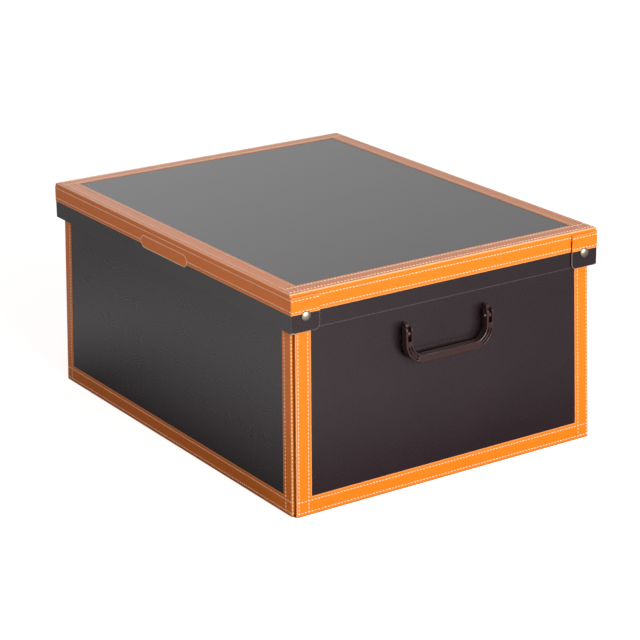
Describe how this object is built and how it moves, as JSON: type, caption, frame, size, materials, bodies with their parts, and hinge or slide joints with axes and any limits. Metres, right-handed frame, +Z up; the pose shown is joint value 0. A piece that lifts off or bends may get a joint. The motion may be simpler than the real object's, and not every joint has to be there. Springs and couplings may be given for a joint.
{
  "type": "cardboard storage box",
  "caption": "Rectangular lidded storage box of folded board with stitched leather-look bands, press-studded lid corners and a swinging handle on each end.",
  "frame": {"origin": "middle of the box's footprint, on the surface that it stands on", "axes": "+X along the box's length towards the right-hand handle, +Y towards the back long side, +Z up"},
  "size_m": [0.517, 0.3911, 0.2403],
  "materials": {
    "board": "satin",
    "inner_board": "matte",
    "leatherette": "satin",
    "label_patch": "satin",
    "handle_plastic": "gloss",
    "stud_metal": "polished"
  },
  "bodies": {
    "box": {"base_panel": "board", "bottom_insert": "inner_board", "front_side_panel": "board", "back_side_panel": "board", "corner_flap_front_right": "inner_board", "corner_flap_front_left": "inner_board", "corner_flap_back_right": "inner_board", "corner_flap_back_left": "inner_board", "right_end_outer_panel": "board", "right_end_inner_panel": "inner_board", "right_end_top_strip": "board", "right_end_trim": "leatherette", "right_handle_plate": "handle_plastic", "left_end_outer_panel": "board", "left_end_inner_panel": "inner_board", "left_end_top_strip": "board", "left_end_trim": "leatherette", "left_handle_plate": "handle_plastic", "front_side_trim": "leatherette", "back_side_trim": "leatherette"},
    "lid": {"lid_top_panel": "board", "lid_top_trim": "leatherette", "lid_front_skirt": "board", "lid_front_trim": "leatherette", "lid_back_skirt": "board", "lid_back_trim": "leatherette", "lid_right_skirt": "board", "lid_right_trim": "leatherette", "lid_left_skirt": "board", "lid_left_trim": "leatherette", "label_patch": "label_patch", "lid_stud_posts": "stud_metal"},
    "right_handle": {"right_handle": "handle_plastic", "right_handle_pins": "handle_plastic"},
    "left_handle": {"left_handle": "handle_plastic", "left_handle_pins": "handle_plastic"},
    "tab_front_right": {"tab_front_right_board": "board", "tab_front_right_trim": "leatherette", "tab_front_right_stud_cap": "stud_metal", "tab_front_right_stud_socket": "stud_metal"},
    "tab_front_left": {"tab_front_left_board": "board", "tab_front_left_trim": "leatherette", "tab_front_left_stud_cap": "stud_metal", "tab_front_left_stud_socket": "stud_metal"},
    "tab_back_right": {"tab_back_right_board": "board", "tab_back_right_trim": "leatherette", "tab_back_right_stud_cap": "stud_metal", "tab_back_right_stud_socket": "stud_metal"},
    "tab_back_left": {"tab_back_left_board": "board", "tab_back_left_trim": "leatherette", "tab_back_left_stud_cap": "stud_metal", "tab_back_left_stud_socket": "stud_metal"}
  },
  "joints": [
    {"name": "lid_lift", "type": "slide", "parent": "box", "child": "lid", "axis": [0, 0, 1], "range_m": [0, 0.15]},
    {"name": "right_handle_swing", "type": "hinge", "parent": "box", "child": "right_handle", "pos_m": [0.2536, -0.005, 0.17264], "axis": [0, -1, 0], "range_deg": [0, 135]},
    {"name": "left_handle_swing", "type": "hinge", "parent": "box", "child": "left_handle", "pos_m": [-0.2536, 0.005, 0.17264], "axis": [0, 1, 0], "range_deg": [0, 135]},
    {"name": "tab_front_right_fold", "type": "hinge", "parent": "lid", "child": "tab_front_right", "pos_m": [0.25, -0.195, 0.218], "axis": [0, 0, -1], "range_deg": [0, 90]},
    {"name": "tab_front_left_fold", "type": "hinge", "parent": "lid", "child": "tab_front_left", "pos_m": [-0.25, -0.195, 0.218], "axis": [0, 0, 1], "range_deg": [0, 90]},
    {"name": "tab_back_right_fold", "type": "hinge", "parent": "lid", "child": "tab_back_right", "pos_m": [0.25, 0.195, 0.218], "axis": [0, 0, 1], "range_deg": [0, 90]},
    {"name": "tab_back_left_fold", "type": "hinge", "parent": "lid", "child": "tab_back_left", "pos_m": [-0.25, 0.195, 0.218], "axis": [0, 0, -1], "range_deg": [0, 90]}
  ]
}
